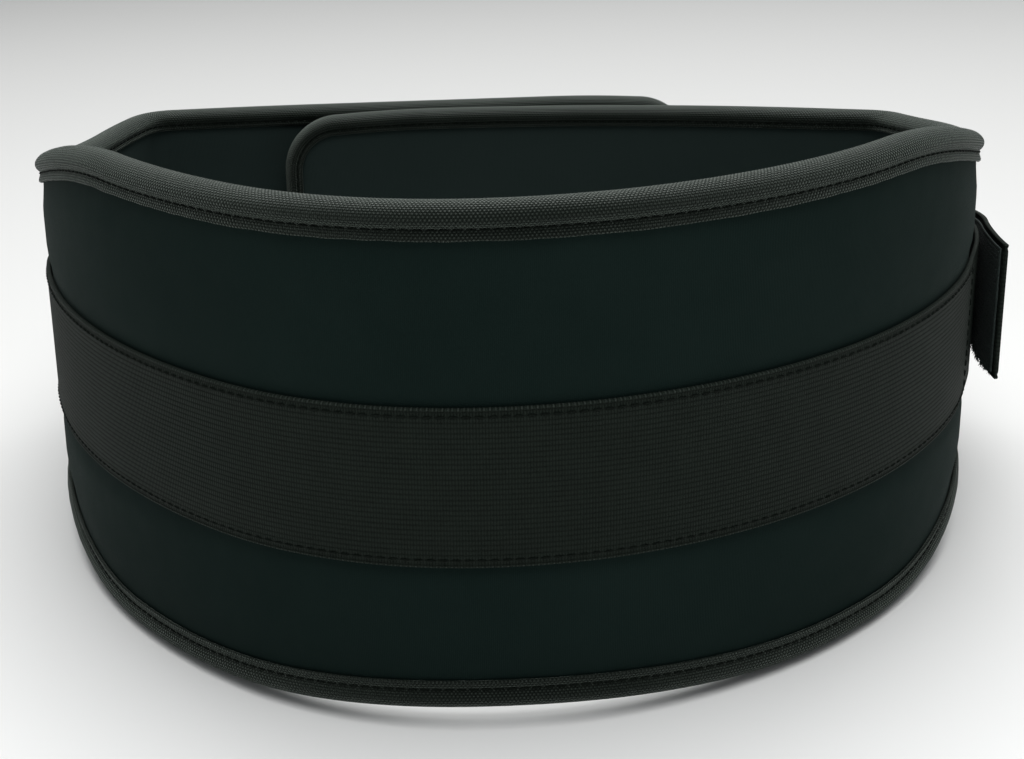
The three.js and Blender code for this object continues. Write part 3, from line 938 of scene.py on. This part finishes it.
def knit_cloth():
    """Smooth dark tricot over foam: faint wales, soft clouding and fuzz, with a paler lining, partly its own
    lighter loop cloth and partly painted light inside the loop.
    """
    finish = Finish("panel_tricot", 0.92, sheen=0.02, specular=0.08, tint=(0.85, 1, 0.92))
    wales = finish.ribs(finish.u, KNIT_WALE)
    courses = finish.ribs(finish.v, KNIT_COURSE)
    fuzz = finish.noise(0.5 * MM, 3)
    knit = finish.math("MULTIPLY", wales, finish.math("MULTIPLY_ADD", courses, 0.5, 0.5))
    cloud = finish.noise(55 * MM, 3)
    tone = finish.math("MULTIPLY_ADD", fuzz, 0.3, finish.math("MULTIPLY", cloud, 0.45))
    tone = finish.math("MULTIPLY_ADD", knit, 0.12, tone)
    # The lining is paler partly because its loop cloth is lighter and partly as painted light, standing in for
    # light reaching the inside of the loop.
    lining = finish.math("GREATER_THAN", finish.v, LINING_V / 2)
    tone = finish.math("MULTIPLY_ADD", lining, 0.5, finish.math("MULTIPLY", tone, 0.5))
    finish.colour(tone, (0.12, (0.0040, 0.0096, 0.0084)), (0.38, (0.0080, 0.0160, 0.0142)),
                  (0.62, (0.0140, 0.0225, 0.0210)), (0.88, (0.0190, 0.0290, 0.0270)))
    finish.rough(finish.noise(8 * MM), 0.84, 0.98)
    finish.bump(finish.math("MULTIPLY_ADD", fuzz, 0.9, knit), 0.05 * MM)
    return finish.material


def ribbed_tape():
    """Binding tape: short raised floats in offset rows, like bricks, with a painted highlight that pales the
    thread tops along the fold.
    """
    finish = Finish("binding_ribbed_tape", 0.6, sheen=0.2, specular=0.12, tint=(0.85, 1, 0.88))
    row = finish.math("FLOOR", finish.math("DIVIDE", finish.v, TAPE_ROW))
    shift = finish.math("MULTIPLY", finish.math("PINGPONG", row, 1.0), math.pi / 2)
    brick = finish.ribs(finish.u, TAPE_FLOAT, shift)
    line = finish.ribs(finish.v, TAPE_ROW)
    weave = finish.math("MULTIPLY", finish.math("POWER", brick, 0.6), finish.math("POWER", line, 0.5))
    fuzz = finish.noise(0.3 * MM, 2)
    wear = finish.noise(24 * MM, 3)
    tone = finish.math("MULTIPLY_ADD", fuzz, 0.2, finish.math("MULTIPLY", weave, 0.62))
    tone = finish.math("MULTIPLY_ADD", wear, 0.18, tone)
    # Painted highlight: the thread tops turn pale towards the tape's fold, the crest of its roll, as if lit
    # there.
    crest_highlight = finish.math("ABSOLUTE", finish.math("SUBTRACT", finish.v, fold_run))
    crest_highlight = finish.math("SUBTRACT", 1.0, finish.math("MINIMUM", finish.math("DIVIDE", crest_highlight, FOLD_HIGHLIGHT_W), 1.0))
    crest_highlight = finish.math("MULTIPLY", crest_highlight, finish.math("POWER", weave, 1.5))
    tone = finish.math("MULTIPLY_ADD", crest_highlight, 0.4, tone)
    # The palest stop is the colour of the painted highlight on the fold.
    finish.colour(tone, (0.15, (0.0002, 0.0005, 0.0003)), (0.45, (0.0026, 0.0044, 0.0032)),
                  (0.75, (0.0110, 0.0150, 0.0120)), (1.0, (0.0900, 0.1000, 0.0900)))
    finish.rough(weave, 1.0, 0.34)
    finish.bump(finish.math("MULTIPLY_ADD", fuzz, 0.15, weave), 0.5 * MM)
    return finish.material


def strap_webbing():
    """Webbing: fine upright ribs crossed by wider rows, with a beaded selvedge."""
    finish = Finish("strap_ribbed_webbing", 0.75, specular=0.18, tint=(0.85, 1, 0.88))
    ribs = finish.math("POWER", finish.ribs(finish.u, STRAP_RIB), 0.9)
    rows = finish.math("POWER", finish.ribs(finish.v, STRAP_ROW), 0.55)
    fuzz = finish.noise(0.5 * MM, 3)
    patches = finish.noise(9 * MM, 3)
    height = finish.math("MULTIPLY", finish.math("MULTIPLY_ADD", ribs, 0.75, 0.25), rows)
    edge = finish.math("GREATER_THAN", finish.math("ABSOLUTE", finish.v), STRAP_W / 2 - 0.6 * MM)
    beads = finish.math("MULTIPLY", edge, finish.math("POWER", finish.ribs(finish.u, STRAP_BEAD), 3))
    tone = finish.math("MULTIPLY_ADD", fuzz, 0.25, finish.math("MULTIPLY", height, 0.4))
    tone = finish.math("MULTIPLY_ADD", patches, 0.25, tone)
    tone = finish.math("MULTIPLY_ADD", beads, 0.4, tone)
    finish.colour(tone, (0.2, (0.0004, 0.0012, 0.0006)), (0.72, (0.0078, 0.0118, 0.0090)),
                  (1.0, (0.0240, 0.0300, 0.0260)))
    finish.rough(height, 0.94, 0.66)
    finish.bump(finish.math("MULTIPLY_ADD", fuzz, 0.3, height), 0.3 * MM)
    return finish.material


def sewing_thread():
    """Plain black thread, unevenly twisted."""
    finish = Finish("black_thread", 0.8, specular=0.12, tint=(0.85, 1, 0.88))
    twist = finish.noise(0.5 * MM, 2)
    finish.colour(twist, (0.3, (0.0012, 0.0020, 0.0015)), (0.7, (0.0040, 0.0060, 0.0045)))
    finish.bump(twist, 0.05 * MM)
    return finish.material


def hook_plastic():
    """Dull grey hook tape, full of picked-up fuzz."""
    finish = Finish("hook_tape_fuzz", 0.7, sheen=0.04, specular=0.3)
    fuzz = finish.noise(0.6 * MM, 3)
    finish.colour(fuzz, (0.3, (0.016, 0.024, 0.022)), (0.75, (0.055, 0.075, 0.070)))
    finish.rough(fuzz, 0.6, 0.9)
    finish.bump(fuzz, 0.15 * MM)
    return finish.material


def ring_metal():
    """Plain bent steel with fine drawing lines and slight handling marks."""
    finish = Finish("ring_drawn_steel", 0.35, metallic=1.0)
    marks = finish.noise(1.2 * MM, 4, 0.65)
    smudge = finish.noise(9 * MM, 2)
    tone = finish.math("ADD", finish.math("MULTIPLY", marks, 0.4), finish.math("MULTIPLY", smudge, 0.6))
    finish.colour(tone, (0.3, (0.38, 0.39, 0.4)), (0.75, (0.52, 0.53, 0.54)))
    finish.rough(tone, 0.26, 0.46)
    finish.bump(marks, 0.02 * MM)
    return finish.material


# Stage, light and camera

def make_floor():
    """A pale paper floor, its colour darkened away from the camera as painted shade for the lamps' falloff."""
    bm = bmesh.new()
    bmesh.ops.create_grid(bm, x_segments=1, y_segments=1, size=FLOOR_SIZE)
    mesh = bpy.data.meshes.new("floor")
    bm.to_mesh(mesh)
    bm.free()
    floor = bpy.data.objects.new("floor", mesh)
    bpy.context.scene.collection.objects.link(floor)
    paper = Finish("pale_floor", 0.85, specular=0.1)
    depth = paper.node("ShaderNodeSeparateXYZ")
    paper.tree.links.new(paper.place, depth.inputs[0])
    # Painted shade: the floor's colour darkens with distance from the camera, standing in for light falling
    # off.
    away = paper.math("MULTIPLY_ADD", depth.outputs[1], 0.5, 0.3)
    paper.colour(away, (0.1, (0.98, 0.98, 0.97)), (0.4, (0.64, 0.64, 0.63)), (0.9, (0.33, 0.33, 0.325)))
    mesh.materials.append(paper.material)


def add_light(name, place, aim, size, power):
    """A soft lamp, turned to face its aim."""
    lamp = bpy.data.lights.new(name, "AREA")
    lamp.shape = "RECTANGLE"
    lamp.size, lamp.size_y = size
    lamp.energy = power
    light = bpy.data.objects.new(name, lamp)
    light.location = place
    light.rotation_euler = (Vector(aim) - Vector(place)).to_track_quat("-Z", "Y").to_euler()
    bpy.context.scene.collection.objects.link(light)


def make_lights():
    """A faint even sky, with the lamps over and behind the belt."""
    world = bpy.data.worlds.new("studio")
    world.use_nodes = True
    sky = world.node_tree.nodes["Background"]
    sky.inputs[0].default_value = (*SKY_COLOUR, 1)
    sky.inputs[1].default_value = SKY_STRENGTH
    bpy.context.scene.world = world
    for lamp in LAMPS:
        add_light(*lamp)


def make_camera():
    """The photo's camera, turned with the belt as it stands up."""
    pitch, roll = CAMERA_PITCH, CAMERA_ROLL
    forward = Vector((0, math.cos(pitch), -math.sin(pitch)))
    level_up = Vector((0, math.sin(pitch), math.cos(pitch)))
    right = Vector((1, 0, 0)) * math.cos(roll) + level_up * math.sin(roll)
    up = Vector((-1, 0, 0)) * math.sin(roll) + level_up * math.cos(roll)
    axes = Matrix((right, up, -forward)).transposed().to_4x4()
    lens = bpy.data.cameras.new("camera")
    lens.lens = CAMERA_LENS
    lens.sensor_width = CAMERA_SENSOR
    lens.clip_start = 0.01
    camera = bpy.data.objects.new("camera", lens)
    camera.matrix_world = STAND @ Matrix.Translation((CAMERA_X, -CAMERA_BACK, CAMERA_UP)) @ axes
    bpy.context.scene.collection.objects.link(camera)
    bpy.context.scene.camera = camera


make_camera()
make_lights()
make_floor()
thread = sewing_thread()
make_panel(knit_cloth())
make_binding(ribbed_tape())
make_binding_stitches(thread)
make_strap(strap_webbing())
make_strap_stitches(thread)
make_hook_tape(hook_plastic())
make_ring(ring_metal())

bpy.context.scene.view_settings.view_transform = "Standard"
